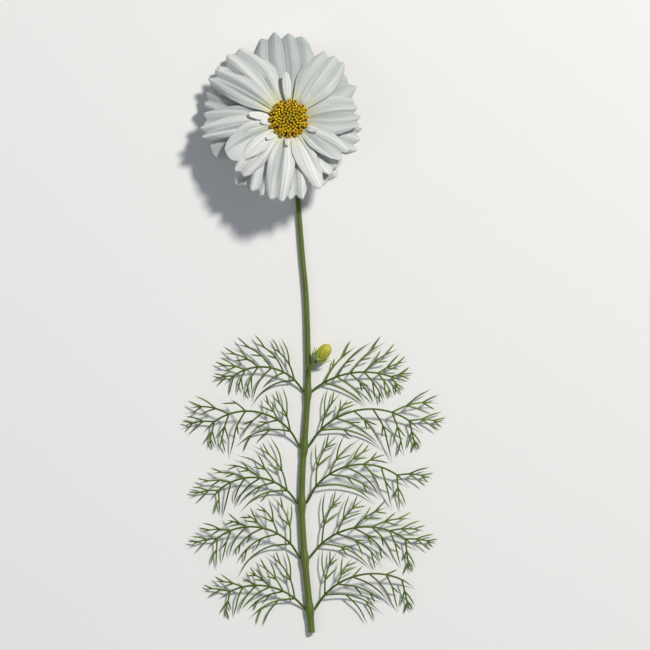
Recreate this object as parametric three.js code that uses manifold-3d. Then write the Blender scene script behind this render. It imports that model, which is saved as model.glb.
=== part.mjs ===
// A picked cosmos flower: one semi-double white bloom on its cut leafy stem, with a bud on a side shoot.
// It lies on a surface as it would on a table. The stem lies along Y with the cut end towards -Y, the neck
// bends up, and the bloom faces up with its far petals resting on the surface. Millimetres, +Z up.
import * as THREE from "three";
import { mergeVertices } from "three/addons/utils/BufferGeometryUtils.js";
import Module from "manifold-3d";

const wasm = await Module();
wasm.setup();

// ---- Driving dimensions -------------------------------------------------------------------------------

const GAP = 0.3; // clearance between two pieces that touch in the living flower
const BLOOM_HEIGHT = 18.5; // petal base plane above the surface, on the bloom's axis
const BLOOM_TILT = THREE.MathUtils.degToRad(15); // how far the bloom leans from straight up, towards +Y

const BLADE = 0.7; // petal thickness
const ROOT_RADIUS = 4; // where the petals grow out of the hub
const HUB = { inner: 3, outer: 5.4, height: 2.4 };
const LAYER_BASE = 0.35; // height of the lowest whorl's roots
const LAYER_STEP = 0.8; // between one whorl's roots and the next
const NOTCH = 2.6; // depth of the notches between a petal's teeth
const PLEAT = 0.7; // height of the pleat that ends in each tooth

const WHORL_RISE = [9, 12, 15]; // degrees that each whorl's petals rise at their roots
const CORNER = 0.13; // how much of its length a petal loses at the corners of its tip

// The disc of florets at the heart: a dome on a stalk that stands inside the hub.
const DISC = { stalk: 2.6, radius: 8.7, rim: 3.8, crown: 6.6 };
const FLORET = { count: 56, radius: 0.78, height: 1.1, field: 7 };
const OPEN_FLORET = { count: 16, ring: 8.2, foot: 0.6, mouth: 1.3, height: 2.1, lean: 0.35 };

// The green cup under the petals, and its two rows of bracts. root and depth say where a bract starts, rise
// lifts it along its length and sag bends its tip back.
const CALYX = { length: 9, foot: 1.35, mouth: 5.4 };
const BRACT_COUNT = 8;
const BRACT_THICKNESS = 0.65;
const OUTER_BRACT = { length: 9.5, width: 2.9, root: 3.2, depth: -3.4, rise: 1.5, sag: 3.4 };
const INNER_BRACT = { length: 7.4, width: 4.6, root: 4.4, depth: -1.5, rise: 0.9, sag: 0.3 };

const NECK_RADIUS = 1.05; // stem radius just under the bloom
const FOOT_RADIUS = 1.55; // and at the cut end
const STEM_SIDES = 8;

// The rays: heading in degrees round the bloom (90 is towards +Y), length from the bloom's axis, width,
// teeth at the tip, whorl (0 is the back one), drop of the tip below the base plane, twist in degrees,
// and curl, how far the two edges lift above the middle.
const RAYS = [
  { heading: 94, length: 47.5, width: 29, teeth: 4, whorl: 1, drop: 7.9, twist: 0, curl: -0.5 },
  { heading: 55, length: 40.5, width: 19, teeth: 3, whorl: 2, drop: 4.2, twist: 4, curl: 0.4 },
  { heading: 37, length: 37, width: 17, teeth: 2, whorl: 1, drop: 5.0, twist: 3, curl: 0.9 },
  { heading: 7, length: 34, width: 20, teeth: 4, whorl: 1, drop: 1.4, twist: 3, curl: 1.0 },
  { heading: -14, length: 35.5, width: 19, teeth: 3, whorl: 0, drop: 4.0, twist: 3, curl: 0.3 },
  { heading: -36, length: 33, width: 12, teeth: 2, whorl: 2, drop: -1.0, twist: 4, curl: 1.3 },
  { heading: -47, length: 33.5, width: 15, teeth: 2, whorl: 1, drop: 1.0, twist: 4, curl: 0.8 },
  { heading: -58, length: 36, width: 17, teeth: 2, whorl: 0, drop: 3.6, twist: 0, curl: 0.3 },
  { heading: -68, length: 37, width: 10.5, teeth: 1, whorl: 2, drop: 0.5, twist: 4, curl: 1.1 },
  { heading: -85, length: 40, width: 13, teeth: 2, whorl: 1, drop: 2.0, twist: 3, curl: 0.7 },
  { heading: -99.5, length: 41, width: 13, teeth: 2, whorl: 2, drop: 1.0, twist: 4, curl: 0.8 },
  { heading: -115, length: 39.5, width: 12, teeth: 2, whorl: 1, drop: 2.5, twist: 3, curl: 0.8 },
  { heading: -125, length: 40, width: 17, teeth: 2, whorl: 0, drop: 4.8, twist: 0, curl: 0.2 },
  { heading: -132, length: 36.5, width: 12, teeth: 2, whorl: 2, drop: 0.5, twist: 5, curl: 1.0 },
  { heading: -149, length: 34, width: 16, teeth: 0, whorl: 2, drop: -0.5, twist: 2, curl: 1.5 },
  { heading: -159, length: 39, width: 18, teeth: 0, whorl: 0, drop: 4.4, twist: 0, curl: 0.4 },
  { heading: -173, length: 43, width: 10, teeth: 2, whorl: 2, drop: 2.5, twist: 5, curl: 0.9 },
  { heading: 178, length: 41.5, width: 13, teeth: 2, whorl: 1, drop: 3.6, twist: 3, curl: 0.4 },
  { heading: 159, length: 43.5, width: 20, teeth: 3, whorl: 0, drop: 6.6, twist: -4, curl: 0.2 },
  { heading: 146, length: 44.5, width: 13, teeth: 2, whorl: 2, drop: 3.5, twist: 4, curl: 0.5 },
  { heading: 129, length: 46, width: 24, teeth: 3, whorl: 1, drop: 6.6, twist: 3, curl: 0.3 },
];

// The short petals between the rays and the disc, which make the bloom semi-double. rise is in degrees.
const CLIMB = 2.6; // how far past the disc's edge they climb steeply
const PETALOIDS = [
  { heading: 94, length: 22, width: 4.6, rise: 12 },
  { heading: 50, length: 14.5, width: 3.4, rise: 22 },
  { heading: 176, length: 19, width: 4.4, rise: 14 },
  { heading: -171, length: 13.5, width: 3, rise: 22 },
  { heading: -134, length: 15, width: 3.2, rise: 20 },
  { heading: -93, length: 14, width: 3, rise: 24 },
  { heading: -26, length: 15, width: 3.4, rise: 20 },
];

// The stem's line in plan from under the bloom to the cut end. The bloom's axis meets the surface near 0, 0.
const STEM_PLAN = [
  [2.6, -22], [4.2, -38.5], [6.2, -63], [7.9, -82], [8.7, -105], [8.9, -124],
  [7.6, -146], [6.2, -166], [6.0, -186], [7.4, -208], [9.6, -230], [10.6, -242],
];
const KNOT = { length: 5, swell: 0.5 }; // the swelling where a pair of leaves grows

// The side shoot: where it leaves the stem along Y, how far before its end it bends, then the bud's base in
// plan and above the surface, its heading in degrees from +X and the upward slope of its axis.
const SHOOT = {
  y: -121,
  radius: 0.8,
  bend: 5,
  base: [13.8, -111.5],
  height: 5.3,
  heading: 50,
  slope: 0.12,
};
const BUD = { length: 8.6, radius: 3.1 };
const SEPAL = { count: 7, length: 6.4, width: 2, thickness: 0.6 };

// Leaf pairs: how far along Y their knot is, and for the left and the right leaf its heading from the stem
// in degrees, how far it turns back as it droops, its length and the height of its arch.
const LEAF_PAIRS = [
  {
    y: -128,
    leaves: [
      { heading: 30, turn: 112, length: 44, arch: 5 },
      { heading: 50, turn: 70, length: 46, arch: 5 },
    ],
  },
  {
    y: -154,
    leaves: [
      { heading: 22, turn: 122, length: 56, arch: 8 },
      { heading: 28, turn: 112, length: 64, arch: 7 },
    ],
  },
  {
    y: -181,
    leaves: [
      { heading: 30, turn: 120, length: 50, arch: 6 },
      { heading: 20, turn: 124, length: 60, arch: 9 },
    ],
  },
  {
    y: -207,
    leaves: [
      { heading: 24, turn: 124, length: 54, arch: 8 },
      { heading: 32, turn: 110, length: 60, arch: 7 },
    ],
  },
  {
    y: -231,
    leaves: [
      { heading: 36, turn: 96, length: 46, arch: 6 },
      { heading: 26, turn: 106, length: 56, arch: 8 },
    ],
  },
];
// A leaf's blade, the widths of its midrib and its threads, the height its tips rest at, the joints of its
// midrib and of a segment, and the first joint with segments.
const LEAF = { thickness: 0.65, rib: 1.1, thread: 0.85, rest: 0.35, joints: 7, bends: 3, first: 1 };
// Threads droop towards the cut end, at most to this angle from +Y. They grow by strides while they keep
// clear of each other's middles, and one that has less room than least isn't grown. sag bends them down.
const DROOP = { most: 2.9, clear: 1.45, least: 4.5, stride: 1, sag: 1.4 };
const KEEP_OFF = { stem: 1.2, bud: 2.4 }; // how far threads keep from the stem's and the bud's surface
// A segment's angle from the midrib, its length as a share of the leaf's, less by a share towards the tip,
// and how much one segment differs from the next. sink is how far its tip comes down to the table, as a share
// of its height, on the side of the leaf that faces the bloom and on the other side.
const SEGMENT = { spread: 0.72, reach: 0.62, less: 0.42, vary: 0.14, sink: [0.45, 0.95] };
// A fork's angle from its segment, and the length from which it bends. list holds the joint where each fork
// grows, to which hand, and for what share of the segment's length.
const FORK = {
  spread: 0.5,
  bends: 2,
  bent: 8,
  list: [[1, 1, 0.6], [1, -1, 0.55], [2, 1, 0.36], [2, -1, 0.3]],
  sink: [0.3, 0.7],
};

// ---- Making solids ------------------------------------------------------------------------------------

const materials = {
  petal: new THREE.MeshStandardMaterial({ color: 0xf1f3ee, roughness: 0.55, metalness: 0 }),
  floret: new THREE.MeshStandardMaterial({ color: 0xe0b400, roughness: 0.6, metalness: 0 }),
  calyx: new THREE.MeshStandardMaterial({ color: 0x7da22a, roughness: 0.5, metalness: 0 }),
  stem: new THREE.MeshStandardMaterial({ color: 0x5d8420, roughness: 0.5, metalness: 0 }),
  leaf: new THREE.MeshStandardMaterial({ color: 0x47692a, roughness: 0.6, metalness: 0 }),
  bud: new THREE.MeshStandardMaterial({ color: 0xb9b32c, roughness: 0.45, metalness: 0 }),
};

const MERGE_DISTANCE = 1e-4;

function toSolid(geometry) {
  const bare = new THREE.BufferGeometry();
  const source = geometry.index ? geometry.toNonIndexed() : geometry;
  bare.setAttribute("position", source.getAttribute("position"));
  const merged = mergeVertices(bare, MERGE_DISTANCE);
  return new wasm.Manifold(
    new wasm.Mesh({
      numProp: 3,
      vertProperties: new Float32Array(merged.attributes.position.array),
      triVerts: new Uint32Array(merged.index.array),
    }),
  );
}

function toGeometry(solid) {
  const mesh = solid.getMesh();
  const positions = new Float32Array(mesh.numVert * 3);
  for (let i = 0; i < mesh.numVert; i++) {
    for (let axis = 0; axis < 3; axis++) {
      positions[3 * i + axis] = mesh.vertProperties[mesh.numProp * i + axis];
    }
  }
  const geometry = new THREE.BufferGeometry();
  geometry.setAttribute("position", new THREE.BufferAttribute(positions, 3));
  geometry.setIndex(new THREE.BufferAttribute(new Uint32Array(mesh.triVerts), 1));
  geometry.computeVertexNormals();
  return geometry;
}

const fuse = (solids) => wasm.Manifold.union(solids);

// The largest body of a solid, without scraps that a cut left loose.
function mainBody(solid) {
  return solid.decompose().sort((a, b) => b.volume() - a.volume())[0];
}

// A thin closed blade. place(u, t) gives the middle of the blade, u from -1 to 1 across and t from 0 to 1
// along, and the two faces lie half of thickness above and below it, split into the same triangles.
function blade(columns, rows, thickness, place) {
  const positions = [];
  for (const side of [0.5, -0.5]) {
    for (let j = 0; j <= rows; j++) {
      for (let i = 0; i <= columns; i++) {
        const p = place((2 * i) / columns - 1, j / rows);
        positions.push(p.x, p.y, p.z + side * thickness);
      }
    }
  }
  const lower = (columns + 1) * (rows + 1);
  const at = (i, j) => j * (columns + 1) + i;
  const index = [];
  for (let j = 0; j < rows; j++) {
    for (let i = 0; i < columns; i++) {
      const [a, b, c, d] = [at(i, j), at(i + 1, j), at(i + 1, j + 1), at(i, j + 1)];
      index.push(a, b, c, a, c, d);
      index.push(lower + a, lower + c, lower + b, lower + a, lower + d, lower + c);
    }
  }
  const rim = [];
  for (let i = 0; i < columns; i++) rim.push(at(i, 0));
  for (let j = 0; j < rows; j++) rim.push(at(columns, j));
  for (let i = columns; i > 0; i--) rim.push(at(i, rows));
  for (let j = rows; j > 0; j--) rim.push(at(0, j));
  rim.forEach((a, k) => {
    const b = rim[(k + 1) % rim.length];
    index.push(a, lower + a, b, b, lower + a, lower + b);
  });
  const geometry = new THREE.BufferGeometry();
  geometry.setAttribute("position", new THREE.Float32BufferAttribute(positions, 3));
  geometry.setIndex(index);
  return geometry;
}

// A closed tube along a curve, whose radius at t is radius(t).
function tube(curve, steps, sides, radius) {
  const frames = curve.computeFrenetFrames(steps);
  const positions = [];
  for (let k = 0; k <= steps; k++) {
    const centre = curve.getPointAt(k / steps);
    for (let s = 0; s < sides; s++) {
      const angle = (2 * Math.PI * (s + 0.5)) / sides;
      const p = centre
        .clone()
        .addScaledVector(frames.normals[k], radius(k / steps) * Math.cos(angle))
        .addScaledVector(frames.binormals[k], radius(k / steps) * Math.sin(angle));
      positions.push(p.x, p.y, p.z);
    }
  }
  const start = curve.getPointAt(0);
  const end = curve.getPointAt(1);
  const first = (steps + 1) * sides;
  positions.push(start.x, start.y, start.z, end.x, end.y, end.z);
  const index = [];
  for (let s = 0; s < sides; s++) {
    const next = (s + 1) % sides;
    for (let k = 0; k < steps; k++) {
      const [a, b] = [k * sides + s, k * sides + next];
      index.push(a, b, b + sides, a, b + sides, a + sides);
    }
    const last = steps * sides;
    index.push(first, next, s);
    index.push(first + 1, last + s, last + next);
  }
  const geometry = new THREE.BufferGeometry();
  geometry.setAttribute("position", new THREE.Float32BufferAttribute(positions, 3));
  geometry.setIndex(index);
  return geometry;
}

const smooth = (x) => {
  const c = THREE.MathUtils.clamp(x, 0, 1);
  return c * c * (3 - 2 * c);
};

// ---- The bloom, in its own frame: +Z is the way it faces and z = 0 is the petals' base plane -----------

// A point at radius r on a heading, moved across to the right of it.
function polar(heading, r, across, z) {
  return new THREE.Vector3(
    r * Math.cos(heading) + across * Math.sin(heading),
    r * Math.sin(heading) - across * Math.cos(heading),
    z,
  );
}

// The surface of one ray. It widens from a narrow claw, carries one pleat for each tooth, and rises from
// the hub before its tip drops.
function raySurface(ray) {
  const heading = THREE.MathUtils.degToRad(ray.heading);
  const twist = THREE.MathUtils.degToRad(ray.twist);
  const reach = ray.length - ROOT_RADIUS;
  const rise = reach * Math.tan(THREE.MathUtils.degToRad(WHORL_RISE[ray.whorl]));
  const corners = CORNER * (ray.teeth > 1 ? 1 : 1.9) * reach; // a petal with one tooth or none is rounder
  const root = LAYER_BASE + ray.whorl * LAYER_STEP;
  return (u, t) => {
    const tooth = ray.teeth ? 1 - Math.abs(Math.cos((Math.PI * ray.teeth * (u + 1)) / 2)) : 0.5;
    const notch = ray.teeth ? NOTCH * (1 - tooth) : 0;
    const r = ROOT_RADIUS + (reach - corners * Math.abs(u) ** 3 - notch) * t;
    const widening = 0.3 + 0.7 * smooth(t / 0.64);
    const narrowing = 1 - 0.1 * smooth((t - 0.76) / 0.24);
    const across = u * (ray.width / 2) * widening * narrowing;
    const arch = root + 0.5 * ray.whorl * LAYER_STEP * t + rise * t - (rise + ray.drop) * t * t;
    const pleat = PLEAT * smooth(t / 0.5) * (tooth - 0.5);
    const curl = ray.curl * u * u * smooth(t / 0.6);
    const z = arch + pleat + curl + across * Math.sin(twist * t);
    return polar(heading, r, across * Math.cos(twist * t), z);
  };
}

// A short tongue that stays low under the disc, climbs past its rim and then lies over the rays.
function petaloidSurface(petaloid) {
  const heading = THREE.MathUtils.degToRad(petaloid.heading);
  const slope = Math.tan(THREE.MathUtils.degToRad(petaloid.rise));
  const reach = petaloid.length - ROOT_RADIUS;
  const underDisc = DISC.radius - ROOT_RADIUS - 0.8;
  return (u, t) => {
    const along = reach * t * (1 - 0.18 * Math.abs(u) ** 3);
    const past = Math.max(0, along - underDisc);
    const climb = 0.8 * Math.min(past, CLIMB) + slope * Math.max(0, past - CLIMB);
    const widening = 0.45 + 0.55 * smooth(t / 0.6);
    const narrowing = 1 - 0.25 * smooth((t - 0.75) / 0.25);
    const across = u * (petaloid.width / 2) * widening * narrowing;
    const z = LAYER_BASE + 2.3 * LAYER_STEP + 0.05 * along + climb - 0.35 * u * u;
    return polar(heading, ROOT_RADIUS + along, across, z);
  };
}

function latheOf(pairs, segments) {
  const profile = pairs.map(([r, z]) => new THREE.Vector2(r, z));
  return new THREE.LatheGeometry(profile, segments).rotateX(Math.PI / 2);
}

// The disc's outline from the foot of its stalk to the top of its dome, grown on all sides.
function discProfile(grow) {
  return [
    [0, GAP - grow],
    [DISC.stalk + grow, GAP - grow],
    [DISC.stalk + grow, HUB.height + GAP - grow],
    [DISC.radius - 1.1 + grow, DISC.rim - 0.8 - grow],
    [DISC.radius + grow, DISC.rim - grow / 2],
    [DISC.radius - 0.8 + grow, DISC.rim + 1.3 + grow],
    [DISC.radius * 0.62, DISC.crown - 0.7 + grow],
    [DISC.radius * 0.3, DISC.crown - 0.15 + grow],
    [0, DISC.crown + grow],
  ];
}

function makeRays() {
  const { inner, outer, height } = HUB;
  const hub = latheOf([[inner, 0], [outer, 0], [outer, height], [inner, height], [inner, 0]], 24);
  const rays = RAYS.map((ray) => blade(ray.teeth > 1 ? 2 * ray.teeth : 4, 5, BLADE, raySurface(ray)));
  const petaloids = PETALOIDS.map((petaloid) => blade(2, 4, BLADE, petaloidSurface(petaloid)));
  return fuse([hub, ...rays, ...petaloids].map(toSolid));
}

// The disc's dome, with closed florets in a sunflower spiral and a ring of open ones at its edge.
function makeDisc() {
  const goldenAngle = Math.PI * (3 - Math.sqrt(5));
  const florets = [];
  for (let k = 0; k < FLORET.count; k++) {
    const r = FLORET.field * Math.sqrt((k + 0.5) / FLORET.count);
    const angle = k * goldenAngle;
    const dome = DISC.crown - 0.3 - 1.6 * (r / DISC.radius) ** 3;
    const bead = new THREE.ConeGeometry(FLORET.radius, 2 * FLORET.height, 5, 1);
    bead.rotateX(Math.PI / 2);
    bead.translate(r * Math.cos(angle), r * Math.sin(angle), dome + FLORET.height / 2);
    florets.push(bead);
  }
  for (let k = 0; k < OPEN_FLORET.count; k++) {
    const cup = new THREE.CylinderGeometry(OPEN_FLORET.mouth, OPEN_FLORET.foot, OPEN_FLORET.height, 5, 1);
    cup.rotateX(Math.PI / 2);
    cup.rotateY(OPEN_FLORET.lean);
    cup.translate(OPEN_FLORET.ring, 0, DISC.rim + 1.3);
    cup.rotateZ((2 * Math.PI * k) / OPEN_FLORET.count);
    florets.push(cup);
  }
  return fuse([latheOf(discProfile(0), 24), ...florets].map(toSolid));
}

// The surface of a bract: widest near its root, pointed at its tip.
function bractSurface(bract, heading) {
  return (u, t) => {
    const across = u * (bract.width / 2) * Math.sin(Math.PI * (0.22 + 0.76 * t)) ** 0.8;
    const z = bract.depth + bract.rise * t - bract.sag * t * t + 0.35 * u * u;
    return polar(heading, bract.root + bract.length * t, across, z);
  };
}

// The green cup under the petals. The inner bracts lie against the petals' backs, the outer ones spread.
function makeCalyx() {
  const { length, foot, mouth } = CALYX;
  const top = -GAP - 0.05;
  const wall = [[foot, -length], [1.7, -7.4], [3.4, -4.6], [mouth, -2.2], [mouth, top]];
  const cup = latheOf([[0, -length], ...wall, [0, top]], 16);
  const bracts = [];
  for (let k = 0; k < BRACT_COUNT; k++) {
    const step = (2 * Math.PI) / BRACT_COUNT;
    bracts.push(blade(2, 3, BRACT_THICKNESS, bractSurface(OUTER_BRACT, (k + 0.5) * step)));
    bracts.push(blade(2, 3, BRACT_THICKNESS, bractSurface(INNER_BRACT, k * step)));
  }
  return fuse([cup, ...bracts].map(toSolid));
}

// ---- The stem, lying on the surface ---------------------------------------------------------------------

const bloomAxis = new THREE.Vector3(0, Math.sin(BLOOM_TILT), Math.cos(BLOOM_TILT));
const bloomCentre = new THREE.Vector3(0, 0, BLOOM_HEIGHT);

function stemRadiusAt(y) {
  const share = THREE.MathUtils.clamp(y / STEM_PLAN[STEM_PLAN.length - 1][1], 0, 1);
  return NECK_RADIUS + (FOOT_RADIUS - NECK_RADIUS) * share;
}

// The neck is an arc from the calyx down to the surface, and the rest follows STEM_PLAN. The stem rests on
// its knots, so its line runs a swelling higher than its own radius.
function stemCurve() {
  const top = bloomCentre.clone().addScaledVector(bloomAxis, -(CALYX.length + GAP));
  const turn = Math.PI / 2 - BLOOM_TILT;
  const lineHeight = (y) => stemRadiusAt(y) + KNOT.swell + 0.1;
  const bend = (top.z - lineHeight(-16)) / (1 - Math.cos(turn));
  const points = [];
  const steps = 6;
  for (let k = steps; k >= 0; k--) {
    const angle = (turn * k) / steps;
    const back = bend * (Math.sin(turn) - Math.sin(angle));
    const y = top.y - back;
    points.push(new THREE.Vector3(0.13 * back, y, lineHeight(y) + bend * (1 - Math.cos(angle))));
  }
  for (const [x, y] of STEM_PLAN) points.push(new THREE.Vector3(x, y, lineHeight(y)));
  return new THREE.CatmullRomCurve3(points, false, "centripetal");
}

function stemPointAt(y) {
  const curve = stemCurve();
  let low = 0;
  let high = 1;
  for (let k = 0; k < 30; k++) {
    const middle = (low + high) / 2;
    if (curve.getPointAt(middle).y > y) low = middle;
    else high = middle;
  }
  return curve.getPointAt(low);
}

function makeStem() {
  const curve = stemCurve();
  const flatToCorner = 1 / Math.cos(Math.PI / STEM_SIDES);
  const main = tube(curve, 64, STEM_SIDES, (t) => {
    const y = curve.getPointAt(t).y;
    const knots = LEAF_PAIRS.map((pair) => smooth(1 - Math.abs(y - pair.y) / KNOT.length));
    return (stemRadiusAt(y) + KNOT.swell * Math.max(...knots)) * flatToCorner;
  });
  return fuse([toSolid(main), toSolid(shootStalk())]);
}

// ---- The bud on its side shoot --------------------------------------------------------------------------

const budHeading = THREE.MathUtils.degToRad(SHOOT.heading);
const budAxis = new THREE.Vector3(Math.cos(budHeading), Math.sin(budHeading), SHOOT.slope).normalize();
const budBase = new THREE.Vector3(...SHOOT.base, SHOOT.height);

function shootStalk() {
  const start = stemPointAt(SHOOT.y);
  const end = budBase.clone().addScaledVector(budAxis, -GAP - 1);
  const bend = end.clone().addScaledVector(budAxis, -SHOOT.bend);
  const curve = new THREE.CatmullRomCurve3([start, bend, end], false, "centripetal");
  return tube(curve, 8, 6, () => SHOOT.radius);
}

function budProfile(grow) {
  const r = BUD.radius;
  const rings = [[0.62 * r, 0], [0.93 * r, 0.2], [r, 0.42], [0.93 * r, 0.66], [0.6 * r, 0.88]];
  return [
    [0, -grow],
    ...rings.map(([radius, share]) => [radius + grow, BUD.length * share - (share ? 0 : grow)]),
    [0, BUD.length + grow],
  ];
}

// The green cup and narrow bracts that hold the bud. Its axis is +Z, with the bud's base at z = 0.
function makeBudCalyx() {
  const cup = latheOf([[0, -1.2], [1.2, -1.2], [2.3, -0.9], [2.5, -GAP], [0, -GAP]], 10);
  const sepals = [];
  for (let k = 0; k < SEPAL.count; k++) {
    const heading = (2 * Math.PI * k) / SEPAL.count;
    const sepal = blade(2, 3, SEPAL.thickness, (u, t) => {
      const r = 1.4 + 0.55 * SEPAL.length * t;
      const z = -0.8 + 0.62 * SEPAL.length * t * t;
      return polar(heading, r, u * (SEPAL.width / 2) * Math.sin(Math.PI * (0.25 + 0.72 * t)), z);
    });
    sepals.push(sepal);
  }
  return fuse([cup, ...sepals].map(toSolid)).subtract(toSolid(latheOf(budProfile(GAP), 12)));
}

// ---- The leaves -----------------------------------------------------------------------------------------

const inPlan = (p) => new THREE.Vector3(p.x, p.y, 0);

// What a new thread keeps clear of, as lines in plan, each with the distance to keep: at first the stem, the
// side shoot and the bud, then every thread that has grown.
const obstacles = [];

function addObstacle(points, distance) {
  for (let k = 1; k < points.length; k++) {
    obstacles.push({ line: new THREE.Line3(inPlan(points[k - 1]), inPlan(points[k])), distance });
  }
}

addObstacle(STEM_PLAN.map(([x, y]) => new THREE.Vector3(x, y, 0)), FOOT_RADIUS + KNOT.swell + KEEP_OFF.stem);
addObstacle([stemPointAt(SHOOT.y), budBase], SHOOT.radius + KEEP_OFF.stem);
addObstacle([budBase, budBase.clone().addScaledVector(budAxis, BUD.length)], BUD.radius + KEEP_OFF.bud);

// Whether a thread from root may pass through p. Lines that meet at root don't count.
function isClear(p, root) {
  const near = new THREE.Vector3();
  return obstacles.every(({ line, distance }) => {
    const startsHere = line.start.distanceTo(root) < GAP || line.end.distanceTo(root) < GAP;
    return startsHere || line.closestPointToPoint(p, true, near).distanceTo(p) > distance;
  });
}

// The way a thread heads at distance s from its root: it turns towards the cut end as it droops.
function wayAt(thread, s) {
  return Math.min(thread.angle + thread.rate * s, Math.max(thread.angle, DROOP.most));
}

function stepOf(thread, s, length) {
  const way = wayAt(thread, s);
  return new THREE.Vector3(thread.side * Math.sin(way), Math.cos(way), 0).multiplyScalar(length);
}

// How long a thread can grow, up to most, before it comes too near to another one.
function roomFor(root, thread, most) {
  const start = inPlan(root);
  const p = start.clone();
  for (let s = 0; s < most; s += DROOP.stride) {
    p.add(stepOf(thread, s, DROOP.stride));
    if (!isClear(p, start)) return s;
  }
  return most;
}

// A branch of a leaf in plan: its line from root, whose height is lift(t). Its children grow from its left or
// its right edge.
function branch(root, thread, length, steps, width, lift) {
  const line = [root.clone()];
  for (let k = 1; k <= steps; k++) {
    const step = stepOf(thread, ((k - 0.5) * length) / steps, length / steps);
    line.push(line[k - 1].clone().add(step));
  }
  line.forEach((p, k) => (p.z = lift(k / steps)));
  addObstacle(line, DROOP.clear);
  return { line, width, thread, length, left: new Map(), right: new Map() };
}

// Walks round a branch and its children: out along the left edge, round the tip and back along the right.
// A child stands on its parent's edge, so the two corners at its foot lie on that edge.
function edgeOf(twig) {
  const { line, width } = twig;
  const last = line.length - 1;
  const alongAt = (k) => {
    const ahead = line[Math.min(last, k + 1)].clone();
    return ahead.sub(line[Math.max(0, k - 1)]).setZ(0).normalize();
  };
  const offset = (k, hand) => {
    const along = alongAt(k);
    const half = (width / 2) * (1 - (0.3 * k) / last);
    return line[k].clone().add(new THREE.Vector3(-along.y * hand * half, along.x * hand * half, 0));
  };
  const foot = (k, hand, way) => offset(k, hand).addScaledVector(alongAt(k), way * 0.6 * LEAF.thread);
  const round = [];
  for (let k = 0; k < last; k++) {
    if (twig.left.has(k)) round.push(foot(k, 1, -1), ...edgeOf(twig.left.get(k)), foot(k, 1, 1));
    else if (k > 0 || twig.free) round.push(offset(k, 1));
  }
  round.push(line[last].clone());
  for (let k = last - 1; k >= 0; k--) {
    if (twig.right.has(k)) round.push(foot(k, -1, 1), ...edgeOf(twig.right.get(k)), foot(k, -1, -1));
    else if (k > 0 || twig.free) round.push(offset(k, -1));
  }
  return round;
}

// A flat-sided sheet of the given thickness, cut to an outline whose points each have their own height.
function cutSheet(outline, thickness) {
  const plan = outline.map((p) => new THREE.Vector2(p.x, p.y));
  if (THREE.ShapeUtils.isClockWise(plan)) {
    plan.reverse();
    outline.reverse();
  }
  const positions = [];
  for (const side of [0.5, -0.5]) {
    for (const p of outline) positions.push(p.x, p.y, p.z + side * thickness);
  }
  const count = outline.length;
  const index = [];
  for (const [a, b, c] of THREE.ShapeUtils.triangulateShape(plan, [])) {
    index.push(a, b, c, count + a, count + c, count + b);
  }
  for (let a = 0; a < count; a++) {
    const b = (a + 1) % count;
    index.push(a, count + a, b, b, count + a, count + b);
  }
  const geometry = new THREE.BufferGeometry();
  geometry.setAttribute("position", new THREE.Float32BufferAttribute(positions, 3));
  geometry.setIndex(index);
  return geometry;
}

// The midrib of a leaf. side is -1 for the left leaf and 1 for the right one.
function makeRib(y, side, leaf) {
  const stem = stemPointAt(y);
  const angle = THREE.MathUtils.degToRad(leaf.heading);
  const rate = THREE.MathUtils.degToRad(leaf.turn) / leaf.length;
  const clear = stemRadiusAt(y) + KNOT.swell + 2 * GAP;
  const start = new THREE.Vector3(stem.x + side * clear, stem.y + clear * 0.4, 0);
  const lift = (t) => LEAF.rest + 0.9 * (1 - t) + leaf.arch * Math.sin(Math.PI * t);
  const rib = branch(start, { side, angle, rate }, leaf.length, LEAF.joints, LEAF.rib, lift);
  rib.free = true;
  return rib;
}

// Grows a child at a joint of a branch, to one hand, as long as it has room and up to most. Its tip comes
// down by a share, sink, of its height above the table.
function grow(parent, joint, hand, spread, most, bends, sink) {
  const { thread, length, line } = parent;
  const angle = wayAt(thread, (joint * length) / (line.length - 1)) + hand * spread;
  const child = { side: thread.side, angle, rate: thread.rate };
  const room = roomFor(line[joint], child, most);
  if (room < DROOP.least) return null;
  const base = line[joint].z;
  const lift = (t) => base + (LEAF.rest - base) * sink * t ** DROOP.sag;
  const grown = branch(line[joint], child, room, room > FORK.bent ? bends : 1, LEAF.thread, lift);
  (hand * thread.side > 0 ? parent.right : parent.left).set(joint, grown);
  return grown;
}

// The segments of a leaf, in pairs along its midrib. hand is -1 on the side that faces the bloom.
function growSegments(rib) {
  const segments = [];
  for (let k = LEAF.first; k < LEAF.joints; k++) {
    for (const hand of [-1, 1]) {
      const vary = Math.sin(13 * (2 * k + hand) + rib.line[0].y) * SEGMENT.vary;
      const most = rib.length * (SEGMENT.reach - (SEGMENT.less * k) / LEAF.joints) * (1 + vary);
      const sink = SEGMENT.sink[hand < 0 ? 0 : 1];
      const segment = grow(rib, k, hand, SEGMENT.spread + vary, most, LEAF.bends, sink);
      if (segment) segments.push({ segment, most, hand });
    }
  }
  return segments;
}

// All the leaves: their midribs first, then the segments and then the forks, each where it has room.
function makeLeaves() {
  const ribs = LEAF_PAIRS.flatMap(({ y, leaves }) => leaves.map((leaf, k) => makeRib(y, k ? 1 : -1, leaf)));
  const segments = ribs.flatMap(growSegments);
  for (const [joint, way, share] of FORK.list) {
    for (const { segment, most, hand } of segments) {
      const sink = FORK.sink[hand < 0 ? 0 : 1];
      if (joint < segment.line.length - 1) {
        grow(segment, joint, way * hand, FORK.spread, most * share, FORK.bends, sink);
      }
    }
  }
  return ribs.map((rib) => toSolid(cutSheet(edgeOf(rib), LEAF.thickness)));
}

// ---- The assembly ---------------------------------------------------------------------------------------

const flower = new THREE.Group();

function addNode(parent, name, solid, material) {
  const mesh = new THREE.Mesh(toGeometry(solid), material);
  mesh.name = name;
  parent.add(mesh);
}

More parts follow.
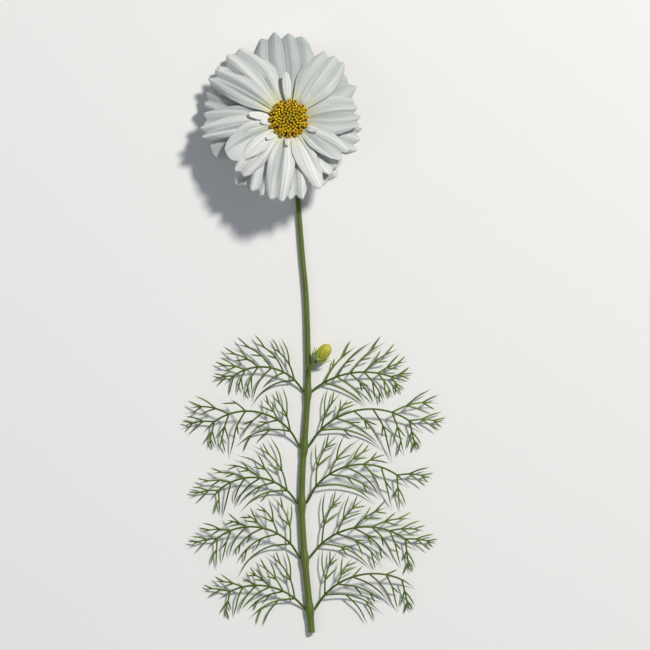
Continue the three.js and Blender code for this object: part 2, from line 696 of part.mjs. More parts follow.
const bloom = new THREE.Group();
bloom.position.copy(bloomCentre);
bloom.rotation.x = -BLOOM_TILT;
flower.add(bloom);

const clearOfDisc = toSolid(latheOf(discProfile(GAP + 0.05), 24));
addNode(bloom, "ray_petals", mainBody(makeRays().subtract(clearOfDisc)), materials.petal);
addNode(bloom, "disc_florets", mainBody(makeDisc()), materials.floret);
addNode(bloom, "calyx", mainBody(makeCalyx()), materials.calyx);
addNode(flower, "stem", makeStem(), materials.stem);

const budGroup = new THREE.Group();
budGroup.position.copy(budBase);
budGroup.quaternion.setFromUnitVectors(new THREE.Vector3(0, 0, 1), budAxis);
flower.add(budGroup);
addNode(budGroup, "bud", toSolid(latheOf(budProfile(0), 12)), materials.bud);
addNode(budGroup, "bud_calyx", mainBody(makeBudCalyx()), materials.calyx);

makeLeaves().forEach((leaf, k) => {
  const name = `leaf_${Math.floor(k / 2) + 1}_${k % 2 ? "right" : "left"}`;
  addNode(flower, name, leaf, materials.leaf);
});

// The origin is the middle of the flower's box, on the surface that it lies on.
flower.updateMatrixWorld(true);
const box = new THREE.Box3().setFromObject(flower, true);
const middle = box.getCenter(new THREE.Vector3());
flower.position.set(-middle.x, -middle.y, -box.min.z);

export default flower;
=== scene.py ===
"""A picked cosmos flower on a table: a semi-double white bloom, its leafy stem and one bud.

Sizes are in millimetres up to finish_piece, which turns a piece into metres and puts it on the frame.
"""
import math
import random
from collections import namedtuple

import bmesh
import bpy
from mathutils import Matrix, Vector


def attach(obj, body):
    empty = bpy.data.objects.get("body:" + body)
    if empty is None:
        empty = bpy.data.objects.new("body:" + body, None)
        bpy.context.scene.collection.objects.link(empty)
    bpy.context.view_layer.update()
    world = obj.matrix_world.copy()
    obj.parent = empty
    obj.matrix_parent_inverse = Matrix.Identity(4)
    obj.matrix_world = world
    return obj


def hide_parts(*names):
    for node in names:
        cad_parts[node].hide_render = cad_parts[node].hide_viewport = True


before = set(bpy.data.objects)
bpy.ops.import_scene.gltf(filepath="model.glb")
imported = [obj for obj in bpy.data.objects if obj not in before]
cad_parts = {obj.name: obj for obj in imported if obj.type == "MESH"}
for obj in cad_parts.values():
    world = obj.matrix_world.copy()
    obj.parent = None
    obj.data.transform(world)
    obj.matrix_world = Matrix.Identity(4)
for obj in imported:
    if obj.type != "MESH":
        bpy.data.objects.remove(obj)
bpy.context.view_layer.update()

# ---- Sizes ----------------------------------------------------------------------------------------------

# Where the frame has this script's own origin: the point of the table that is under the bloom's middle.
ORIGIN = Vector((-11.6742, 98.8497, -0.0202))
BLOOM_CENTRE = Vector((0, 0, 18.5))
BLOOM_TILT = math.radians(15)
BLOOM_AXIS = Vector((0, math.sin(BLOOM_TILT), math.cos(BLOOM_TILT)))
BLOOM_PLACE = Matrix.Translation(BLOOM_CENTRE) @ Matrix.Rotation(-BLOOM_TILT, 4, "X")

PETAL_THICKNESS, PETALOID_THICKNESS = 0.32, 0.42
ROOT_RADIUS = 4
# How high the lowest whorl starts, and how much higher each of the others does.
LAYER_BASE, LAYER_STEP = 0.35, 0.8
# How deep the notches between teeth are and how high the pleats, the share of a ray that its corners are
# cut back by, and how many creases it has.
NOTCH, PLEAT, CORNER, CREASES = 3.3, 0.95, 0.13, 5
WHORLS = ("outer", "middle", "inner")
WHORL_RISE = (9, 12, 15)  # in degrees, where it leaves the disc
VEINED_WIDTH = 20  # of a petal that has its veins at their usual spacing
LEAST_COLUMNS, COLUMNS_PER_WIDTH, PETAL_ROWS = 26, 2.2, 34
# What is spun round an axis has an outline of (radius, height).
PETAL_RING = ((3.3, 0.1), (5.2, 0.1), (5.3, 1.2), (4.6, 2.5), (3.3, 2.6), (3.3, 0.1))
# Each ray's place and shape, as in the solid. Its last number is painted shade: how far its white goes
# towards grey on a ray that lies in shade.
Ray = namedtuple("Ray", "heading length width teeth whorl drop twist curl grey")
RAYS = (
    Ray(94, 47.5, 29, 4, 1, 7.9, 0, -0.5, 0.9),
    Ray(55, 40.5, 19, 3, 2, 4.2, 4, 0.4, 0.6),
    Ray(37, 37, 17, 2, 1, 5.0, 3, 0.9, 0.7),
    Ray(7, 34, 20, 4, 1, 1.4, 3, 1.0, 0.6),
    Ray(-14, 35.5, 19, 3, 0, 4.0, 3, 0.3, 0.45),
    Ray(-36, 33, 12, 2, 2, -1.0, 4, 1.3, 0.25),
    Ray(-47, 33.5, 15, 2, 1, 1.0, 4, 0.8, 0.2),
    Ray(-58, 36, 17, 2, 0, 3.6, 0, 0.3, 0.45),
    Ray(-68, 37, 10.5, 1, 2, 0.5, 4, 1.1, 0.1),
    Ray(-85, 40, 13, 2, 1, 2.0, 3, 0.7, 0.15),
    Ray(-99.5, 41, 13, 2, 2, 1.0, 4, 0.8, 0.1),
    Ray(-115, 39.5, 12, 2, 1, 2.5, 3, 0.8, 0.05),
    Ray(-125, 40, 17, 2, 0, 4.8, 0, 0.2, 0.35),
    Ray(-132, 36.5, 12, 2, 2, 0.5, 5, 1.0, 0.05),
    Ray(-149, 34, 16, 0, 2, -0.5, 2, 1.5, 0),
    Ray(-159, 39, 18, 0, 0, 4.4, 0, 0.4, 0.6),
    Ray(-173, 43, 10, 2, 2, 2.5, 5, 0.9, 0.2),
    Ray(178, 41.5, 13, 2, 1, 3.6, 3, 0.4, 0.45),
    Ray(159, 43.5, 20, 3, 0, 6.6, -4, 0.2, 0.7),
    Ray(146, 44.5, 13, 2, 2, 3.5, 4, 0.5, 0.4),
    Ray(129, 46, 24, 3, 1, 6.6, 3, 0.3, 0.3),
)
Petaloid = namedtuple("Petaloid", "heading length width rise")
PETALOIDS = (
    Petaloid(94, 22, 4.6, 12),
    Petaloid(50, 14.5, 3.4, 22),
    Petaloid(176, 19, 4.4, 14),
    Petaloid(-171, 13.5, 3, 22),
    Petaloid(-134, 15, 3.2, 20),
    Petaloid(-93, 14, 3, 24),
    Petaloid(-26, 15, 3.4, 20),
)
PETALOID_CLIMB = 2.6  # how far past the disc's edge they climb steeply

DISC_RADIUS, DISC_CROWN = 8.7, 6.3
RECEPTACLE = (
    (0, 0.35), (2.5, 0.35), (2.6, 2.6), (7.3, 3.0), (8.5, 3.7), (8.3, 4.6),
    (7.4, 5.0), (6, 5.4), (4, 5.7), (2, 5.9), (0, 6.0),
)
# How many closed florets there are, within what radius, and half the height of one.
CLOSED_FLORETS, CLOSED_FIELD, HALF_BEAD = 84, 7.2, 1.15
# Count, distance from the middle, height, lean and size of each ring of open florets.
OPEN_RINGS = ((16, 8.2, 3.9, 0.45, 1.08), (12, 7.2, 5.0, 0.3, 0.92))
COROLLA_WALL = 0.12
# Height and radius, from the foot of a column to its tip.
ANTHER_COLUMN = ((0.2, 0.3), (0.8, 0.34), (1.3, 0.36), (1.8, 0.36), (2.15, 0.3), (2.4, 0.16))

CALYX_CUP = (
    (0, -9), (1.35, -9), (1.45, -8.3), (1.75, -7.3), (2.5, -5.9), (3.4, -4.6), (4.5, -3.2),
    (5.2, -2.1), (5.4, -1.2), (5.4, -0.35), (0, -0.35),
)
CALYX_BRACTS, CALYX_WALL = 8, 0.28
# Length, width, distance from the middle, depth, rise and sag of a bract.
INNER_BRACT = (7.4, 4.6, 4.4, -1.5, 0.9, 0.3)
OUTER_BRACT = (9.5, 2.9, 3.2, -3.4, 1.5, 3.4)

# Where the stem's middle goes over the table, seen from above.
STEM_PLAN = (
    (2.6, -22), (4.2, -38.5), (6.2, -63), (7.9, -82), (8.7, -105), (8.9, -124),
    (7.6, -146), (6.2, -166), (6.0, -186), (7.4, -208), (9.6, -230), (10.6, -242),
)
NECK_RADIUS, FOOT_RADIUS = 1.05, 1.55
# How far under the bloom's middle the stem starts, how far it goes up into the calyx, where its neck comes
# down to the table, how far it leans to the right on the way, and the points of its bend.
NECK_DEPTH, NECK_SUNK, NECK_FOOT_Y, NECK_LEAN, NECK_POINTS = 9.3, 0.8, -16, 0.13, 6
STEM_POINTS = 300
KNOT_LENGTH, KNOT_SWELL = 5, 0.5
CUT_END = ((0, 0.08), (0.5, 0.1), (0.9, 0.02), (1.25, 0.1), (1.44, -0.02), (1.44, -0.5), (0, -0.5))
HAIRS, HAIR_RADIUS = 520, 0.045
BUD_BASE = Vector((13.8, -111.5, 5.3))
BUD_AXIS = Vector((math.cos(math.radians(50)), math.sin(math.radians(50)), 0.12)).normalized()
BUD_LENGTH, BUD_RADIUS = 8.6, 3.1
BUD_OUTLINE = (
    (0.0, 0.60), (0.08, 0.78), (0.2, 0.93), (0.32, 0.98), (0.42, 1.0), (0.54, 0.985), (0.66, 0.93),
    (0.78, 0.8), (0.88, 0.6), (0.95, 0.36), (1.0, 0.0),
)
BUD_CUP = ((0, -1.3), (0.9, -1.3), (1.5, -1.15), (2.2, -0.9), (2.45, -0.4), (2.2, 0.25), (0, 0.2))
SEPALS, SEPAL_LENGTH, SEPAL_WIDTH, SEPAL_WALL = 7, 6.4, 2.1, 0.26
SHOOT_Y, SHOOT_RADIUS, SHOOT_BEND = -121, 0.8, 6.3
# Where each pair of leaves grows, then heading, turn, length and arch of the left and the right leaf.
LEAF_PAIRS = (
    (-128, (30, 112, 44, 5), (50, 70, 46, 5)),
    (-154, (22, 122, 56, 8), (28, 112, 64, 7)),
    (-181, (30, 120, 50, 6), (20, 124, 60, 9)),
    (-207, (24, 124, 54, 8), (32, 110, 60, 7)),
    (-231, (36, 96, 46, 6), (26, 106, 56, 8)),
)
# How high the leaves' tips lie, the width of a midrib and of a segment, and a fork's share of that.
LEAF_REST, LEAF_RIB, LEAF_THREAD, FORK_SHARE = 0.35, 1.1, 0.85, 0.95
LEAF_JOINTS, LEAF_BENDS = 7, 3
# How far outside the knot a midrib starts, and how much higher it is there than at its tip.
RIB_START, RIB_SLOPE = 0.6, 0.9
# How threads droop: the angle from +Y that they droop to, how clear they keep of each other's middles, the
# least length of one, the stride they grow by, and how they sag.
DROOP_MOST, CLEAR, LEAST, STRIDE, SAG = 2.9, 1.45, 4.5, 1, 1.4
KEEP_OFF_STEM, KEEP_OFF_BUD = 1.2, 2.4
# A thread looks for obstacles this near, and passes over those that end this close to its own root.
NEAR, SAME_JOINT = 14, 0.3
# A segment's angle from the midrib, its reach, how much less of that it has towards the tip, how much one
# differs from the next, and how far it sinks: first on the edge that faces the bloom, then on the other.
SPREAD, REACH, LESS, VARY, SINK = 0.72, 0.62, 0.42, 0.14, (0.45, 0.95)
# The same for forks. A fork longer than FORK_BENT has bends. FORKS has the joint, the hand and the share of
# its segment's length of each.
FORK_SPREAD, FORK_BENDS, FORK_BENT, FORK_SINK = 0.5, 2, 8, (0.3, 0.7)
FORKS = ((1, 1, 0.6), (1, -1, 0.55), (2, 1, 0.36), (2, -1, 0.3))

# The dark, the light and the edge green of each finish.
CALYX_GREENS = ((0.24, 0.34, 0.05), (0.42, 0.52, 0.12), (0.50, 0.58, 0.20))
STEM_GREENS = ((0.055, 0.085, 0.012), (0.105, 0.155, 0.022), (0.20, 0.27, 0.05))
BUD_GREENS = ((0.25, 0.40, 0.05), (0.40, 0.55, 0.10), (0.50, 0.66, 0.18))
LEAF_GREENS = ((0.018, 0.045, 0.004), (0.055, 0.115, 0.008), (0.22, 0.34, 0.025))

CAMERA_HEIGHT, CAMERA_AIM = 1400, (16.9, -95.6)
PIXELS, PIXEL_SIZE = 650, 0.47  # across the picture, and of a pixel at the bloom's height

CURVE_STEPS = 12
MERGE = 1e-4  # points nearer than this are one point

luck = random.Random(7)


def smooth(x):
    x = min(1.0, max(0.0, x))
    return x * x * (3 - 2 * x)


# ---- Shaping --------------------------------------------------------------------------------------------


def new_shape():
    """An empty bmesh that keeps, for its finish, where each point lies on its petal or thread."""
    bm = bmesh.new()
    for name in ("along", "across", "depth", "tone"):
        bm.verts.layers.float.new(name)
    return bm


def mark(bm, v, **values):
    for name, value in values.items():
        v[bm.verts.layers.float[name]] = value


def sheet(bm, columns, rows, place, tone=0.5):
    """A grid laid out by place(u, t), with u from -1 to 1 across it and t from 0 to 1 along it.
    place gives a point and how deep it lies in a fold."""
    grid = bmesh.ops.create_grid(bm, x_segments=columns, y_segments=rows, size=1)
    for v in grid["verts"]:
        u, t = v.co.x, (v.co.y + 1) / 2
        v.co, depth = place(u, t)
        mark(bm, v, along=t, across=u, depth=depth, tone=tone)
    return grid["verts"]


def frames_along(line):
    """The sideways and upward directions at each point of a line, carried along it without twist."""
    last = len(line) - 1
    side = None
    frames = []
    for k in range(len(line)):
        ahead = (line[min(k + 1, last)] - line[max(k - 1, 0)]).normalized()
        if side is None:
            side = ahead.cross(Vector((0, 0, 1)))
            if side.length < 0.2:
                side = ahead.cross(Vector((0, 1, 0)))
        side = (side - ahead * side.dot(ahead)).normalized()
        frames.append((side, side.cross(ahead)))
    return frames


def tube(bm, line, radius, sides, tone=0.5, flat=1.0):
    """A closed tube along a line. radius(t, angle) is its radius and flat its height for its width."""
    frames = frames_along(line)
    centres = [line[0], *line, line[-1]]
    frames = [frames[0], *frames, frames[-1]]
    last = len(centres) - 1

    def place(u, t):
        k = round(t * last)
        angle = math.pi * (u + 1)
        r = 0 if k in (0, last) else radius((k - 1) / (last - 2), angle)
        side, up = frames[k]
        return centres[k] + side * (r * math.cos(angle)) + up * (r * flat * math.sin(angle)), 0

    verts = sheet(bm, sides, last, place, tone)
    for v in verts:
        t = v[bm.verts.layers.float["along"]]
        mark(bm, v, along=min(1, max(0, (t * last - 1) / (last - 2))))
    bmesh.ops.remove_doubles(bm, verts=verts, dist=MERGE)


def curve_through(points, count):
    """Evenly spaced points along a smooth (centripetal) curve through the given points."""
    points = [Vector(p) for p in points]
    ends = [2 * points[0] - points[1], *points, 2 * points[-1] - points[-2]]
    fine = [points[0]]
    for p0, p1, p2, p3 in zip(ends, ends[1:], ends[2:], ends[3:]):
        t1 = (p1 - p0).length ** 0.5
        t2 = t1 + (p2 - p1).length ** 0.5
        t3 = t2 + (p3 - p2).length ** 0.5
        for k in range(1, CURVE_STEPS + 1):
            t = t1 + (t2 - t1) * k / CURVE_STEPS
            a1 = p0 * ((t1 - t) / t1) + p1 * (t / t1)
            a2 = p1 * ((t2 - t) / (t2 - t1)) + p2 * ((t - t1) / (t2 - t1))
            a3 = p2 * ((t3 - t) / (t3 - t2)) + p3 * ((t - t2) / (t3 - t2))
            b1 = a1 * ((t2 - t) / t2) + a2 * (t / t2)
            b2 = a2 * ((t3 - t) / (t3 - t1)) + a3 * ((t - t1) / (t3 - t1))
            fine.append(b1 * ((t2 - t) / (t2 - t1)) + b2 * ((t - t1) / (t2 - t1)))
    reach = [0.0]
    for a, b in zip(fine, fine[1:]):
        reach.append(reach[-1] + (b - a).length)
    spaced = []
    k = 0
    for n in range(count):
        want = reach[-1] * n / (count - 1)
        while k < len(fine) - 2 and reach[k + 1] < want:
            k += 1
        share = (want - reach[k]) / max(1e-9, reach[k + 1] - reach[k])
        spaced.append(fine[k].lerp(fine[k + 1], min(1, share)))
    return spaced


def polar(heading, r, across, z):
    """A point at radius r on a heading, moved across to the right of it."""
    return Vector((
        r * math.cos(heading) + across * math.sin(heading),
        r * math.sin(heading) - across * math.cos(heading),
        z,
    ))


def facing(point, way):
    """Puts what was made round the Z axis at a point, with its top facing a way."""
    turn = Vector((0, 0, 1)).rotation_difference(way).to_matrix().to_4x4()
    return Matrix.Translation(point) @ turn


def spun(bm, profile, steps, tone=0.5):
    """A profile of (radius, height) turned once round the Z axis."""
    verts = [bm.verts.new((r, 0, z)) for r, z in profile]
    for k, v in enumerate(verts):
        mark(bm, v, along=k / (len(verts) - 1), tone=tone)
    edges = [bm.edges.new(pair) for pair in zip(verts, verts[1:])]
    before = set(bm.verts) - set(verts)
    bmesh.ops.spin(
        bm, geom=verts + edges, axis=(0, 0, 1), cent=(0, 0, 0), dvec=(0, 0, 0),
        angle=2 * math.pi, steps=steps, use_merge=True,
    )
    bmesh.ops.remove_doubles(bm, verts=[v for v in bm.verts if v not in before], dist=MERGE)


def finish_piece(bm, name, finish, nodes, place=Matrix(), thickness=0.0):
    """Makes a piece of a shape, in metres on the frame. It stands for the CAD nodes named."""
    move = Matrix.Scale(0.001, 4) @ Matrix.Translation(ORIGIN) @ place
    bmesh.ops.transform(bm, matrix=move, verts=bm.verts)
    bmesh.ops.recalc_face_normals(bm, faces=bm.faces)
    mesh = bpy.data.meshes.new(name)
    bm.to_mesh(mesh)
    bm.free()
    for polygon in mesh.polygons:
        polygon.use_smooth = True
    mesh.materials.append(finish.material)
    piece = bpy.data.objects.new(name, mesh)
    bpy.context.scene.collection.objects.link(piece)
    if thickness:
        wall = piece.modifiers.new("thickness", "SOLIDIFY")
        wall.thickness = thickness * 0.001
        wall.offset = 0
    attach(piece, "root")
    if nodes:
        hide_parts(*nodes)


# ---- Finishes -------------------------------------------------------------------------------------------


class Value:
    """A shader socket that can be added to, multiplied and so on."""

    def __init__(self, finish, socket):
        self.finish, self.socket = finish, socket

    def math(self, operation, *others):
        inputs = dict(enumerate((self, *others)))
        return self.finish.node("ShaderNodeMath", {"operation": operation}, inputs)

    def __add__(self, other):
        return self.math("ADD", other)

    def __sub__(self, other):
        return self.math("SUBTRACT", other)

    def __mul__(self, other):
        return self.math("MULTIPLY", other)

    def __pow__(self, other):
        return self.math("POWER", other)

    def __rsub__(self, other):
        return (self * -1) + other

    __radd__ = __add__
    __rmul__ = __mul__

    def sin(self):
        return self.math("SINE")

    def clamped(self):
        return self.math("MAXIMUM", 0.0).math("MINIMUM", 1.0)


class Finish:
    """A node material. The constants of its surface are set on the Principled node itself."""

    def __init__(self, name, **constants):
        self.material = bpy.data.materials.new(name)
        self.material.use_nodes = True
        self.tree = self.material.node_tree
        self.surface = self.tree.nodes["Principled BSDF"]
        for socket, value in constants.items():
            self.surface.inputs[socket.replace("_", " ")].default_value = value

    def node(self, kind, settings, inputs, output=0):
        made = self.tree.nodes.new(kind)
        for name, value in settings.items():
            setattr(made, name, value)
        for name, value in inputs.items():
            if isinstance(value, Value):
                self.tree.links.new(value.socket, made.inputs[name])
            else:
                made.inputs[name].default_value = value
        return Value(self, made.outputs[output])

    def feed(self, socket, value):
        self.tree.links.new(value.socket, self.surface.inputs[socket])

    def attribute(self, name):
        return self.node("ShaderNodeAttribute", {"attribute_name": name}, {}, "Fac")

    def noise(self, scale, detail):
        where = self.node("ShaderNodeTexCoord", {}, {}, "Object")
        return self.node("ShaderNodeTexNoise", {}, {"Vector": where, "Scale": scale, "Detail": detail})

    def mix(self, factor, a, b):
        """One colour into another. The numbers are the places of a colour Mix node's sockets."""
        a, b = (colour if isinstance(colour, Value) else (*colour, 1) for colour in (a, b))
        return self.node("ShaderNodeMix", {"data_type": "RGBA"}, {0: factor, 6: a, 7: b}, 2)

    def bump(self, height, distance):
        bumpy = self.node("ShaderNodeBump", {}, {"Height": height, "Distance": distance}, "Normal")
        self.feed("Normal", bumpy)


def petal_finish():
    """Satin white with painted shade: greyer in the folds, creases and rib troughs and on the rays that lie
    in shade; yellow-green towards the disc.
    """
    finish = Finish(
        "satin_petal", Subsurface_Weight=0.12, Subsurface_Scale=0.0006, Subsurface_Radius=(1, 0.95, 0.8),
        Sheen_Weight=0.08, Sheen_Roughness=0.4, Specular_IOR_Level=0.35,
    )
    along, across = finish.attribute("along"), finish.attribute("across")
    depth, tone = finish.attribute("depth"), finish.attribute("tone")
    throat = (1 - along * 2.1).clamped()
    mottle, wander = finish.noise(260, 3), finish.noise(70, 1)
    veins = ((across * 42 + wander * 5).sin() * 0.5 + 0.5) ** 3
    # Painted shade: grey where a point lies deep in a fold, crease or rib trough.
    shaded = finish.mix((depth * 0.9).clamped(), (0.93, 0.935, 0.91), (0.40, 0.45, 0.445))
    # Painted shade: each ray goes towards grey by its own painted shade, as if it lay in shade.
    ray_shaded = finish.mix((tone * (0.7 + wander * 0.6)).clamped(), shaded, (0.42, 0.465, 0.46))
    veined = finish.mix(veins * 0.24 * (0.4 + mottle), ray_shaded, (0.60, 0.64, 0.60))
    warm = finish.mix((throat * throat * 1.3).clamped(), veined, (0.66, 0.67, 0.25))
    finish.feed("Base Color", warm)
    finish.feed("Roughness", 0.42 + mottle * 0.18)
    finish.bump(veins * (0.3 + 0.7 * along) + mottle * 0.5, 0.00009)
    return finish


def floret_finish():
    finish = Finish(
        "closed_floret", Specular_IOR_Level=0.4, Subsurface_Weight=0.15, Subsurface_Scale=0.0006,
    )
    along, tone = finish.attribute("along"), finish.attribute("tone")
    grain = finish.noise(1800, 2)
    # Dark brown towards the foot of each bead: partly its own brown and partly painted shade between the
    # florets.
    body = finish.mix((along * 2.2 - 0.85).clamped(), (0.15, 0.055, 0.006), (0.74, 0.54, 0.010))
    tipped = finish.mix(tone * (along * 2 - 1).clamped(), body, (0.72, 0.70, 0.04))
    patches = (finish.noise(330, 1) * 3 - 1.35).clamped()
    finish.feed("Base Color", finish.mix(patches * 0.55, tipped, (0.42, 0.22, 0.012)))
    finish.feed("Roughness", 0.4 + grain * 0.25)
    finish.bump(grain, 0.00006)
    return finish


def corolla_finish():
    finish = Finish(
        "open_floret", Specular_IOR_Level=0.35, Subsurface_Weight=0.15, Subsurface_Scale=0.0006,
    )
    along = finish.attribute("along")
    grain = finish.noise(1500, 2)
    colour = finish.mix((along * 1.6 - 0.3).clamped(), (0.36, 0.20, 0.012), (0.82, 0.50, 0.008))
    finish.feed("Base Color", finish.mix(grain * 0.4, colour, (0.70, 0.42, 0.01)))
    finish.feed("Roughness", 0.42 + grain * 0.2)
    finish.bump(grain, 0.00005)
    return finish


def anther_finish():
    finish = Finish("anther", Specular_IOR_Level=0.35)
    along = finish.attribute("along")
    grain = finish.noise(3000, 2)
    colour = finish.mix((along * 5 - 3.9).clamped(), (0.075, 0.022, 0.010), (0.85, 0.52, 0.03))
    finish.feed("Base Color", finish.mix(grain * 0.5, colour, (0.16, 0.06, 0.02)))
    finish.feed("Roughness", 0.55 + grain * 0.3)
    finish.bump(grain, 0.00005)
    return finish


def receptacle_finish():
    finish = Finish("receptacle", Specular_IOR_Level=0.3)
    grain = finish.noise(900, 3)
    finish.feed("Base Color", finish.mix(grain, (0.045, 0.015, 0.008), (0.20, 0.09, 0.012)))
    finish.feed("Roughness", 0.6 + grain * 0.2)
    finish.bump(grain, 0.0001)
    return finish


def green_finish(name, greens, scale, lines, roughness=0.42):
    """Mottled green with a number of lines along it, paler towards the tip."""
    dark, light, edge = greens
    finish = Finish(name, Specular_IOR_Level=0.32, Subsurface_Weight=0.1, Subsurface_Scale=0.0008)
    along, across, tone = finish.attribute("along"), finish.attribute("across"), finish.attribute("tone")
    mottle = finish.noise(scale, 4)
    stripes = (across * lines).sin() * 0.5 + 0.5
    body = finish.mix((mottle * 1.6 - 0.3).clamped(), dark, light)
    striped = finish.mix(stripes * 0.35, body, edge)
    finish.feed("Base Color", finish.mix(((along * 0.6 + 0.3) * tone).clamped(), striped, edge))
    finish.feed("Roughness", roughness + mottle * 0.2)
    finish.bump(stripes * 0.6 + mottle * 0.6, 0.00008)
    return finish


def bud_finish():
    finish = Finish("bud_petal", Specular_IOR_Level=0.4, Subsurface_Weight=0.15, Subsurface_Scale=0.001)
    along, depth = finish.attribute("along"), finish.attribute("depth")
    mottle = finish.noise(500, 3)
    body = finish.mix(along, (0.34, 0.36, 0.025), (0.62, 0.54, 0.05))
    # Darker in the laps between its petals, a painted shade, and in the troughs of its fine stripes, partly
    # their own colour and partly painted shade.
    lined_and_seam_shaded = finish.mix((depth * 1.2).clamped(), body, (0.19, 0.22, 0.03))
    finish.feed("Base Color", finish.mix(mottle * 0.4, lined_and_seam_shaded, (0.72, 0.68, 0.10)))
    finish.feed("Roughness", 0.28 + mottle * 0.15)
    finish.bump(mottle - depth, 0.0001)
    return finish


def pith_finish():
    finish = Finish("cut_end", Specular_IOR_Level=0.3)
    grain = finish.noise(2500, 3)
    across = finish.attribute("along")
    wood = finish.mix((across * 1.4 - 0.3).clamped(), (0.62, 0.66, 0.42), (0.30, 0.38, 0.12))
    finish.feed("Base Color", finish.mix(grain * 0.5, wood, (0.44, 0.48, 0.24)))
    finish.feed("Roughness", 0.6 + grain * 0.2)
    finish.bump(grain, 0.0001)
    return finish


def hair_finish():
    finish = Finish("stem_hair", Specular_IOR_Level=0.4)
    along = finish.attribute("along")
    finish.feed("Base Color", finish.mix(along, (0.46, 0.55, 0.25), (0.78, 0.80, 0.66)))
    finish.feed("Roughness", 0.4 + along * 0.1)
    return finish


# ---- The bloom ------------------------------------------------------------------------------------------


def crease_lift(creases, u, t):
    """How far lengthwise creases lift a petal. They spread from its root and fade towards its tip."""
    lift = 0
    for middle, spread, height in creases:
        away = (u - middle * (0.7 + 0.3 * t)) / spread
        lift += height * math.exp(-away * away)
    return lift * smooth(t / 0.25) * (1 - 0.7 * smooth((t - 0.55) / 0.45))


def ray_surface(ray, number):
    """One ray: it widens from its root, with a pleat for each tooth, creases, ribs and edges that wave."""
    heading, twist = math.radians(ray.heading), math.radians(ray.twist)
    teeth, lobes = ray.teeth, max(1, ray.teeth)
    reach = ray.length - ROOT_RADIUS
    rise = reach * math.tan(math.radians(WHORL_RISE[ray.whorl]))
    root = LAYER_BASE + ray.whorl * LAYER_STEP
    corners = CORNER * (1 if teeth > 1 else 1.9) * reach
    ribs = round(ray.width * 0.75)
    chance = random.Random(100 + number)
    wave, phase, sway = chance.uniform(0.15, 0.4), chance.uniform(0, 6.28), chance.uniform(-0.03, 0.03)
    lip = chance.uniform(-0.5, 0.3)
    depths = [chance.uniform(0.6, 1.3) for _ in range(teeth + 1)]
    shorter = [chance.uniform(0, 1.2) for _ in range(lobes)]
    folds = [chance.uniform(0.7, 1.35) for _ in range(lobes)]
    creases = [
        (chance.uniform(-0.85, 0.85), chance.uniform(0.07, 0.17), chance.uniform(-1.0, 0.7))
        for _ in range(CREASES)
    ]

    def place(u, t):
        tooth, notch, fold = 0.5, 0, 1
        if teeth:
            at = teeth * (u + 1) / 2
            lobe = min(teeth - 1, int(at))
            within = at - lobe
            ridge = math.sin(math.pi * within)
            tooth = 0.55 * ridge + 0.45 * (1 - abs(math.cos(math.pi * within)))
            notch = NOTCH * (1 - tooth) * depths[min(teeth, round(at))] + shorter[lobe] * ridge ** 2
            fold = 1 + (folds[lobe] - 1) * ridge
        r = ROOT_RADIUS + (reach - corners * abs(u) ** 3 - notch) * t
        widening = 0.3 + 0.7 * smooth(t / 0.64)
        narrowing = 1 - 0.1 * smooth((t - 0.76) / 0.24)
        across = u * (ray.width / 2) * widening * narrowing
        arch = root + 0.5 * ray.whorl * LAYER_STEP * t + rise * t - (rise + ray.drop) * t * t
        rib = math.cos(math.pi * ribs * (u + 0.07 * math.sin(4 * u + phase)))
        crease = crease_lift(creases, u, t)
        pleat = PLEAT * smooth(t / 0.5) * (tooth - 0.5) * fold
        fine = 0.09 * rib * smooth(t / 0.25) * (1 - 0.5 * smooth((t - 0.7) / 0.3))
        ruffle = wave * math.sin(9 * t + phase + 1.5 * u) * u * u * smooth(t / 0.6)
        turned = lip * smooth((t - 0.86) / 0.14)
        cupped = ray.curl * u * u * smooth(t / 0.6)
        z = arch + pleat + crease + fine + ruffle + turned + cupped + across * math.sin(twist * t)
        # This depth is painted shade: how grey the finish makes the notch folds, rib troughs and creases.
        depth = 0.55 * (1 - tooth) * smooth(t / 0.4) + 0.2 * (0.5 - 0.5 * rib) + 1.1 * max(0, -crease)
        return polar(heading + sway * t * t, r, across * math.cos(twist * t), z), depth

    return place


def petaloid_surface(petaloid):
    """A short tongue that stays low under the disc, climbs past its rim and then lies over the rays."""
    heading, slope = math.radians(petaloid.heading), math.tan(math.radians(petaloid.rise))
    reach, under_disc = petaloid.length - ROOT_RADIUS, DISC_RADIUS - ROOT_RADIUS - 0.8
    low = LAYER_BASE + 2.3 * LAYER_STEP

    def place(u, t):
        round_tip = 0.62 * petaloid.width * (1 - math.sqrt(1 - 0.98 * u * u))
        along = (reach - round_tip) * t
        past = max(0, along - under_disc)
        climb = 0.8 * min(past, PETALOID_CLIMB) + slope * max(0, past - PETALOID_CLIMB)
        widening = 0.42 + 0.5 * smooth((t - 0.15) / 0.6)
        across = u * (petaloid.width / 2) * widening * (1 - 0.22 * smooth((t - 0.8) / 0.2))
        rib = math.cos(3 * math.pi * u)
        z = low + 0.05 * along + climb - 0.35 * u * u + 0.07 * rib
        # Its second number is painted shade in the troughs between its ribs.
        return polar(heading, ROOT_RADIUS + along, across, z), 0.3 * (0.5 - 0.5 * rib)

    return place


def thin_out_veins(bm, petal, width):
    """Gives a narrow petal fewer veins, so that all veins are spaced alike."""
    layer = bm.verts.layers.float["across"]
    for v in petal:
        v[layer] *= width / VEINED_WIDTH


